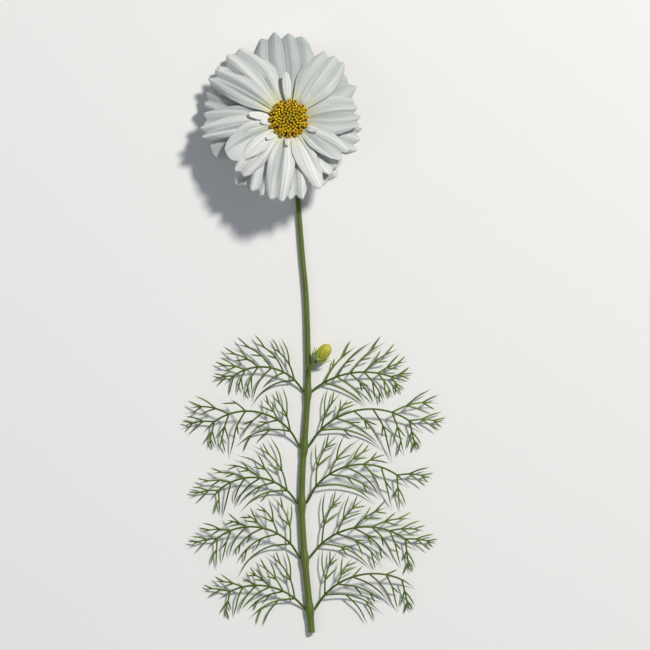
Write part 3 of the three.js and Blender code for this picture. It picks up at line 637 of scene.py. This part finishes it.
def make_petals():
    finish = petal_finish()
    for whorl, name in enumerate(WHORLS):
        bm = new_shape()
        for number, ray in enumerate(RAYS):
            if ray.whorl == whorl:
                columns = max(LEAST_COLUMNS, round(ray.width * COLUMNS_PER_WIDTH))
                petal = sheet(bm, columns, PETAL_ROWS, ray_surface(ray, number), ray.grey)
                thin_out_veins(bm, petal, ray.width)
        finish_piece(
            bm, "ray_petals_" + name, finish, ["ray_petals"], BLOOM_PLACE, PETAL_THICKNESS,
        )
    bm = new_shape()
    for petaloid in PETALOIDS:
        # The tone gives each tongue a little painted grey shade.
        tongue = sheet(bm, 10, 20, petaloid_surface(petaloid), tone=0.18)
        thin_out_veins(bm, tongue, petaloid.width)
    finish_piece(bm, "petaloids", finish, ["ray_petals"], BLOOM_PLACE, PETALOID_THICKNESS)
    bm = new_shape()
    # The ring takes the default tone, so it is painted half-way to grey as shade.
    spun(bm, PETAL_RING, 40)
    finish_piece(bm, "petal_ring", finish, ["ray_petals"], BLOOM_PLACE)


def dome_height(r):
    """How high the disc is at a distance from its middle."""
    return DISC_CROWN - 1.6 * (r / DISC_RADIUS) ** 3


def add_bead(bm, place, radius, lean, tone):
    """A closed floret: a five-ribbed bead with a blunt tip, that leans away from the disc's middle."""
    bead = bmesh.ops.create_uvsphere(bm, u_segments=15, v_segments=9, radius=1)["verts"]
    turn = luck.uniform(0, 1.2)
    for v in bead:
        t = (v.co.z + 1) / 2
        angle = math.atan2(v.co.y, v.co.x)
        rib = 1 + 0.13 * math.cos(5 * angle) * smooth(t * 1.4)
        slim = 1 - 0.25 * smooth((t - 0.55) / 0.45)
        v.co = Vector((v.co.x * radius * rib * slim, v.co.y * radius * rib * slim, v.co.z * HALF_BEAD))
        mark(bm, v, along=t, tone=tone)
    leaning = Matrix.Rotation(lean, 4, Vector((-place.y, place.x, 0)).normalized())
    move = Matrix.Translation(place) @ leaning @ Matrix.Rotation(turn, 4, "Z")
    bmesh.ops.transform(bm, matrix=move, verts=bead)


def add_open_floret(bm, anthers, heading, ring, height, lean, size):
    """An open floret: a tube that flares to five pointed lobes round a dark column of anthers."""
    place = (
        Matrix.Rotation(heading, 4, "Z")
        @ Matrix.Translation((ring, 0, height))
        @ Matrix.Rotation(lean, 4, "Y")
        @ Matrix.Rotation(luck.uniform(0, 1.2), 4, "Z")
    )

    def cup(u, t):
        angle = math.pi * (u + 1)
        lobe = abs(math.cos(2.5 * angle))
        open_up = smooth((t - 0.45) / 0.55)
        r = size * (0.42 + 0.12 * t + (0.28 + 0.42 * lobe) * open_up)
        z = size * (2.0 * min(t, 0.75) + (0.25 - 0.75 * lobe * smooth((t - 0.7) / 0.3)) * open_up)
        return Vector((r * math.cos(angle), r * math.sin(angle), z)), 0

    verts = sheet(bm, 30, 9, cup)
    bmesh.ops.remove_doubles(bm, verts=verts, dist=MERGE)
    bmesh.ops.transform(bm, matrix=place, verts=[v for v in verts if v.is_valid])

    line = [Vector((0, 0, size * z)) for z, _ in ANTHER_COLUMN]

    def column(t, angle):
        width = ANTHER_COLUMN[round(t * (len(line) - 1))][1]
        return size * width * (1 + 0.1 * math.cos(5 * angle))

    before = set(anthers.verts)
    tube(anthers, line, column, 10)
    bmesh.ops.transform(anthers, matrix=place, verts=[v for v in anthers.verts if v not in before])


def make_disc():
    bm = new_shape()
    spun(bm, RECEPTACLE, 48)
    finish_piece(bm, "disc_receptacle", receptacle_finish(), ["disc_florets"], BLOOM_PLACE)

    bm = new_shape()
    golden_angle = math.pi * (3 - math.sqrt(5))
    for k in range(CLOSED_FLORETS):
        r = CLOSED_FIELD * math.sqrt((k + 0.5) / CLOSED_FLORETS) + luck.uniform(-0.12, 0.12)
        angle = k * golden_angle + luck.uniform(-0.25, 0.25) / (r + 1)
        out = r / CLOSED_FIELD
        radius = 0.60 + 0.16 * out + luck.uniform(-0.06, 0.05)
        height = dome_height(r) + 0.35 + luck.uniform(-0.28, 0.22)
        place = Vector((r * math.cos(angle), r * math.sin(angle), height))
        lean = 0.32 * out ** 2 + luck.uniform(-0.08, 0.08)
        add_bead(bm, place, radius, lean, tone=0.8 * smooth(1 - r / 4.5) + luck.uniform(0, 0.2))
    finish_piece(bm, "closed_florets", floret_finish(), ["disc_florets"], BLOOM_PLACE)

    bm, anthers = new_shape(), new_shape()
    for count, ring, height, lean, size in OPEN_RINGS:
        for k in range(count):
            heading = 2 * math.pi * (k + luck.uniform(-0.16, 0.16)) / count
            add_open_floret(
                bm, anthers, heading, ring + luck.uniform(-0.25, 0.2), height + luck.uniform(-0.3, 0.3),
                lean + luck.uniform(-0.2, 0.2), size * luck.uniform(0.85, 1.1),
            )
    finish_piece(
        bm, "open_florets", corolla_finish(), ["disc_florets"], BLOOM_PLACE, COROLLA_WALL,
    )
    finish_piece(anthers, "floret_anthers", anther_finish(), ["disc_florets"], BLOOM_PLACE)


def bract_surface(heading, length, width, root, depth, rise, sag):
    """A pointed bract with a keel under it, that rises or sags as it goes out."""

    def place(u, t):
        across = u * (width / 2) * math.sin(math.pi * (0.22 + 0.76 * t)) ** 0.8
        keel = 0.16 * (1 - abs(u)) ** 2
        z = depth + rise * t - sag * t * t + 0.35 * u * u - keel
        return polar(heading, root + length * t, across, z), 1 - abs(u)

    return place


def make_calyx():
    finish = green_finish("calyx_green", CALYX_GREENS, 260, 30)
    bm = new_shape()
    spun(bm, CALYX_CUP, 48, tone=0.2)
    for k in range(CALYX_BRACTS):
        heading = 2 * math.pi * k / CALYX_BRACTS
        sheet(bm, 12, 14, bract_surface(heading, *INNER_BRACT), tone=0.7)
        heading += math.pi / CALYX_BRACTS
        sheet(bm, 8, 16, bract_surface(heading, *OUTER_BRACT), tone=0.3)
    finish_piece(bm, "calyx_cup", finish, ["calyx"], BLOOM_PLACE, CALYX_WALL)


# ---- The stem and the bud -------------------------------------------------------------------------------


def stem_radius(y):
    return NECK_RADIUS + (FOOT_RADIUS - NECK_RADIUS) * min(1, max(0, y / STEM_PLAN[-1][1]))


def line_height(y):
    """How high the stem's middle is where the stem lies on the table."""
    return stem_radius(y) + KNOT_SWELL + 0.1


def stem_line():
    """The stem's middle: from under the bloom round the bend of its neck, and then along the table."""
    top = BLOOM_CENTRE - BLOOM_AXIS * NECK_DEPTH
    turn = math.pi / 2 - BLOOM_TILT
    bend = (top.z - line_height(NECK_FOOT_Y)) / (1 - math.cos(turn))
    points = [top + BLOOM_AXIS * NECK_SUNK]
    for k in range(NECK_POINTS, -1, -1):
        angle = turn * k / NECK_POINTS
        back = bend * (math.sin(turn) - math.sin(angle))
        y = top.y - back
        points.append(Vector((NECK_LEAN * back, y, line_height(y) + bend * (1 - math.cos(angle)))))
    points += [Vector((x, y, line_height(y))) for x, y in STEM_PLAN]
    return curve_through(points, STEM_POINTS)


STEM_LINE = stem_line()


def stem_point(y):
    return min(STEM_LINE, key=lambda p: abs(p.y - y))


def make_stem():
    finish = green_finish("stem_green", STEM_GREENS, 220, 25)
    knots = [pair[0] for pair in LEAF_PAIRS]
    last = len(STEM_LINE) - 1

    def radius(t, angle):
        y = STEM_LINE[min(last, round(t * last))].y
        swell = KNOT_SWELL * max(smooth(1 - abs(y - knot) / KNOT_LENGTH) for knot in knots)
        neck = 0.32 * smooth(1 - t * 40)
        foot = -0.12 * smooth((t - 0.996) / 0.004)
        return (stem_radius(y) + swell + neck + foot) * (1 + 0.045 * math.cos(8 * angle))

    def shoot_radius(t, angle):
        return SHOOT_RADIUS * (1.15 - 0.15 * smooth(t * 3)) * (1 + 0.04 * math.cos(6 * angle))

    bm = new_shape()
    tube(bm, STEM_LINE, radius, 32, tone=0.25)
    shoot = [stem_point(SHOOT_Y), BUD_BASE - BUD_AXIS * SHOOT_BEND, BUD_BASE - BUD_AXIS * 0.9]
    tube(bm, curve_through(shoot, 30), shoot_radius, 18, tone=0.5)
    finish_piece(bm, "stem_skin", finish, ["stem"])

    foot = STEM_LINE[-1]
    bm = new_shape()
    spun(bm, CUT_END, 36)
    finish_piece(bm, "stem_cut_end", pith_finish(), [], facing(foot, foot - STEM_LINE[-3]))

    bm = new_shape()
    for _ in range(HAIRS):
        k = luck.randrange(4, last - 2)
        here, ahead = STEM_LINE[k], (STEM_LINE[k + 1] - STEM_LINE[k - 1]).normalized()
        side = ahead.cross(Vector((0, 0, 1))).normalized()
        angle = luck.uniform(-0.3, math.pi + 0.3)
        out = side * math.cos(angle) + side.cross(ahead) * math.sin(angle)
        r = radius(k / last, angle)
        root = here + out * (r - 0.1)
        tip = here + out * (r + luck.uniform(0.35, 0.75)) + ahead * luck.uniform(-0.35, 0.1)
        tube(bm, [root, root.lerp(tip, 0.5), tip], lambda t, angle: HAIR_RADIUS * (1 - 0.75 * t), 3)
    finish_piece(bm, "stem_hairs", hair_finish(), [])


def bud_radius(t):
    """The bud's radius at a share of its length, in bud radiuses."""
    for (t0, r0), (t1, r1) in zip(BUD_OUTLINE, BUD_OUTLINE[1:]):
        if t <= t1:
            return r0 + (r1 - r0) * (t - t0) / (t1 - t0)
    return 0


def bud_surface(u, t):
    """Eight petals rolled round each other, each with fine stripes, and seams where one laps the next."""
    angle = math.pi * (u + 1)
    turned = angle + 0.9 * t
    lap = (8 * turned / (2 * math.pi)) % 1
    step = 0.16 * (lap - 0.5) * smooth((1 - t) * 4) * smooth(t * 6 + 0.3)
    stripe = 0.05 * math.cos(24 * turned)
    r = bud_radius(t) * (BUD_RADIUS * 0.985 + step + stripe)
    # The depth is painted shade in the seams, and partly in the stripes' troughs.
    depth = 0.8 * smooth(1 - min(lap, 1 - lap) * 9) + 0.25 * (stripe < 0)
    return Vector((r * math.cos(angle), r * math.sin(angle), BUD_LENGTH * t)), depth


def sepal_surface(heading):
    """A narrow green bract of the bud, that bends up as it goes out."""

    def place(u, t):
        r = 1.4 + 0.55 * SEPAL_LENGTH * t
        z = -0.8 + 0.62 * SEPAL_LENGTH * t * t - 0.12 * (1 - abs(u))
        across = u * (SEPAL_WIDTH / 2) * math.sin(math.pi * (0.25 + 0.74 * t)) ** 1.1
        return polar(heading, r, across, z), 1 - abs(u)

    return place


def make_bud():
    place = facing(BUD_BASE, BUD_AXIS)
    bm = new_shape()
    verts = sheet(bm, 112, 36, bud_surface)
    bmesh.ops.remove_doubles(bm, verts=verts, dist=MERGE)
    finish_piece(bm, "bud_petals", bud_finish(), ["bud"], place)

    finish = green_finish("bud_green", BUD_GREENS, 300, 20)
    bm = new_shape()
    spun(bm, BUD_CUP, 36, tone=0.4)
    for k in range(SEPALS):
        sheet(bm, 8, 14, sepal_surface(2 * math.pi * k / SEPALS), tone=0.8)
    finish_piece(bm, "bud_bracts", finish, ["bud_calyx"], place, SEPAL_WALL)


# ---- The leaves -----------------------------------------------------------------------------------------


class Thread:
    """A midrib, a segment or a fork of a leaf: its line, and how it heads and turns towards the cut end."""

    # What a new thread keeps clear of on its side of the stem: lines in plan, each with a distance.
    obstacles = {-1: [], 1: []}

    def __init__(self, leaf, side, angle, rate):
        self.leaf, self.side, self.angle, self.rate = leaf, side, angle, rate
        self.line, self.length = [], 0

    @classmethod
    def keep_off(cls, points, distance, sides=(-1, 1)):
        for a, b in zip(points, points[1:]):
            for side in sides:
                cls.obstacles[side].append((a.xy, (b - a).xy, distance))

    def way_at(self, s):
        return min(self.angle + self.rate * s, max(self.angle, DROOP_MOST))

    def step(self, s, length):
        way = self.way_at(s)
        return Vector((self.side * math.sin(way), math.cos(way))) * length

    def is_clear(self, p, root):
        for a, ahead, distance in self.obstacles[self.side]:
            away = p - a
            if abs(away.x) < NEAR and abs(away.y) < NEAR:
                share = min(1, max(0, away.dot(ahead) / ahead.length_squared))
                if (away - ahead * share).length <= distance:
                    if (a - root).length >= SAME_JOINT and (a + ahead - root).length >= SAME_JOINT:
                        return False
        return True

    def room(self, root, most):
        """How long the thread can grow before it comes too near to another one."""
        p, s = root.xy, 0
        while s < most:
            p = p + self.step(s, STRIDE)
            if not self.is_clear(p, root.xy):
                return s
            s += STRIDE
        return most

    def lay(self, root, length, steps, lift):
        self.length = length
        self.line = [Vector(root)]
        for k in range(steps):
            self.line.append(self.line[-1] + self.step((k + 0.5) * length / steps, length / steps).to_3d())
        for k, p in enumerate(self.line):
            p.z = lift(k / steps)
        self.keep_off(self.line, CLEAR, (self.side,))
        return self

    def grow(self, joint, hand, spread, most, bends, sink):
        """A child at a joint, to one hand, as long as it has room. Its tip sinks by a share of its height.

        most is the most that it may have, and bends its number of bends. Without room there is no child."""
        angle = self.way_at(joint * self.length / (len(self.line) - 1)) + hand * spread
        child = Thread(self.leaf, self.side, angle, self.rate)
        room = child.room(self.line[joint], most)
        if room < LEAST:
            return None
        base = self.line[joint].z
        steps = bends if room > FORK_BENT else 1

        def lift(t):
            return base + (LEAF_REST - base) * sink * t ** SAG

        return child.lay(self.line[joint], room, steps, lift)


def add_thread(bm, line, width, points, tone, tip_start=0.7):
    """A slim flattened needle with a groove along it. Its tip starts at a share of its length."""
    fine = curve_through(line, points)
    for p in fine:
        p.z = max(p.z, width * 0.42)

    def radius(t, angle):
        groove = 0.18 * smooth(1 - abs(angle - math.pi / 2) / 0.6)
        taper = 1 - 0.9 * smooth((t - tip_start) / (1 - tip_start))
        return width / 2 * (1 - 0.25 * t) * taper * (1 - groove)

    tube(bm, fine, radius, 8, tone, flat=0.72)


def make_rib(leaf, y, side, heading, turn, length, arch):
    """A leaf's midrib: it starts beside the stem's knot, arches up and comes down to the table."""
    stem = stem_point(y)
    clear = stem_radius(y) + KNOT_SWELL + RIB_START
    start = Vector((stem.x + side * clear, stem.y + clear * 0.4, 0))
    rib = Thread(leaf, side, math.radians(heading), math.radians(turn) / length)

    def lift(t):
        return LEAF_REST + RIB_SLOPE * (1 - t) + arch * math.sin(math.pi * t)

    return rib.lay(start, length, LEAF_JOINTS, lift)


def make_leaves():
    """Midribs first, then their segments and then the forks, each where it has room."""
    finish = green_finish("leaf_green", LEAF_GREENS, 200, 6, 0.4)
    Thread.keep_off([Vector((x, y, 0)) for x, y in STEM_PLAN], FOOT_RADIUS + KNOT_SWELL + KEEP_OFF_STEM)
    Thread.keep_off([stem_point(SHOOT_Y), BUD_BASE], SHOOT_RADIUS + KEEP_OFF_STEM)
    Thread.keep_off([BUD_BASE, BUD_BASE + BUD_AXIS * BUD_LENGTH], BUD_RADIUS + KEEP_OFF_BUD)
    ribs = []
    for k, (y, left, right) in enumerate(LEAF_PAIRS):
        ribs.append(make_rib(f"leaf_{k + 1}_left", y, -1, *left))
        ribs.append(make_rib(f"leaf_{k + 1}_right", y, 1, *right))

    segments = []
    for rib in ribs:
        for k in range(1, LEAF_JOINTS):
            for hand, sink in zip((-1, 1), SINK):
                vary = math.sin(13 * (2 * k + hand) + rib.line[0].y) * VARY
                most = rib.length * (REACH - LESS * k / LEAF_JOINTS) * (1 + vary)
                segment = rib.grow(k, hand, SPREAD + vary, most, LEAF_BENDS, sink)
                if segment:
                    segments.append((segment, most, hand))
    forks = []
    for joint, way, share in FORKS:
        for segment, most, hand in segments:
            if joint < len(segment.line) - 1:
                sink = FORK_SINK[hand > 0]
                fork = segment.grow(joint, way * hand, FORK_SPREAD, most * share, FORK_BENDS, sink)
                if fork:
                    forks.append(fork)

    shapes = {}
    for rib in ribs:
        shapes[rib.leaf] = new_shape()
        inside = rib.line[0] + Vector((-rib.side * 2.2, -2.4, 0.4))
        add_thread(shapes[rib.leaf], [inside, *rib.line], LEAF_RIB, 44, 0.2, tip_start=0.85)
    for segment, _, _ in segments:
        add_thread(shapes[segment.leaf], segment.line, LEAF_THREAD, 18, luck.uniform(0, 0.9))
    for fork in forks:
        add_thread(shapes[fork.leaf], fork.line, LEAF_THREAD * FORK_SHARE, 12, luck.uniform(0.1, 1.1))
    for name, bm in shapes.items():
        finish_piece(bm, name + "_threads", finish, [name])


# ---- The table, the light and the camera ----------------------------------------------------------------


def make_lamp(name, place, target, size, energy, colour):
    data = bpy.data.lights.new(name, "AREA")
    data.shape, data.size, data.energy, data.color = "DISK", size, energy, colour
    light = bpy.data.objects.new(name, data)
    bpy.context.scene.collection.objects.link(light)
    way = Vector(target) - Vector(place)
    light.matrix_world = Matrix.Translation(place) @ way.to_track_quat("-Z", "Y").to_matrix().to_4x4()


def make_stage():
    """A pale floor, a dim bluish room, a warm key light over the bloom's right and a soft fill, in metres."""
    bm = bmesh.new()
    bmesh.ops.create_grid(bm, x_segments=1, y_segments=1, size=3)
    mesh = bpy.data.meshes.new("floor")
    bm.to_mesh(mesh)
    bm.free()
    floor = bpy.data.objects.new("floor", mesh)
    bpy.context.scene.collection.objects.link(floor)
    finish = Finish("pale_floor", Base_Color=(0.93, 0.93, 0.925, 1), Roughness=0.9, Specular_IOR_Level=0.1)
    mesh.materials.append(finish.material)

    world = bpy.data.worlds.new("studio")
    world.use_nodes = True
    room = world.node_tree.nodes["Background"].inputs
    room["Color"].default_value = (0.86, 0.91, 1, 1)
    room["Strength"].default_value = 0.23
    bpy.context.scene.world = world
    make_lamp("key", (1.04, 1.17, 1.9), (0, 0.03, 0), 0.34, 50, (1, 0.965, 0.91))
    make_lamp("fill", (-0.9, -0.5, 0.9), (0, 0, 0), 0.9, 1.5, (0.9, 0.95, 1))


def make_camera():
    """Looks straight down on the flower."""
    data = bpy.data.cameras.new("camera")
    data.sensor_width = 36
    data.lens = data.sensor_width * (CAMERA_HEIGHT - BLOOM_CENTRE.z) / (PIXELS * PIXEL_SIZE)
    data.clip_end = 10
    camera = bpy.data.objects.new("camera", data)
    camera.location = (Vector((*CAMERA_AIM, CAMERA_HEIGHT)) + ORIGIN) * 0.001
    bpy.context.scene.collection.objects.link(camera)
    bpy.context.scene.camera = camera


make_camera()
make_stage()
make_petals()
make_disc()
make_calyx()
make_stem()
make_bud()
make_leaves()

bpy.context.scene.view_settings.view_transform = "Standard"
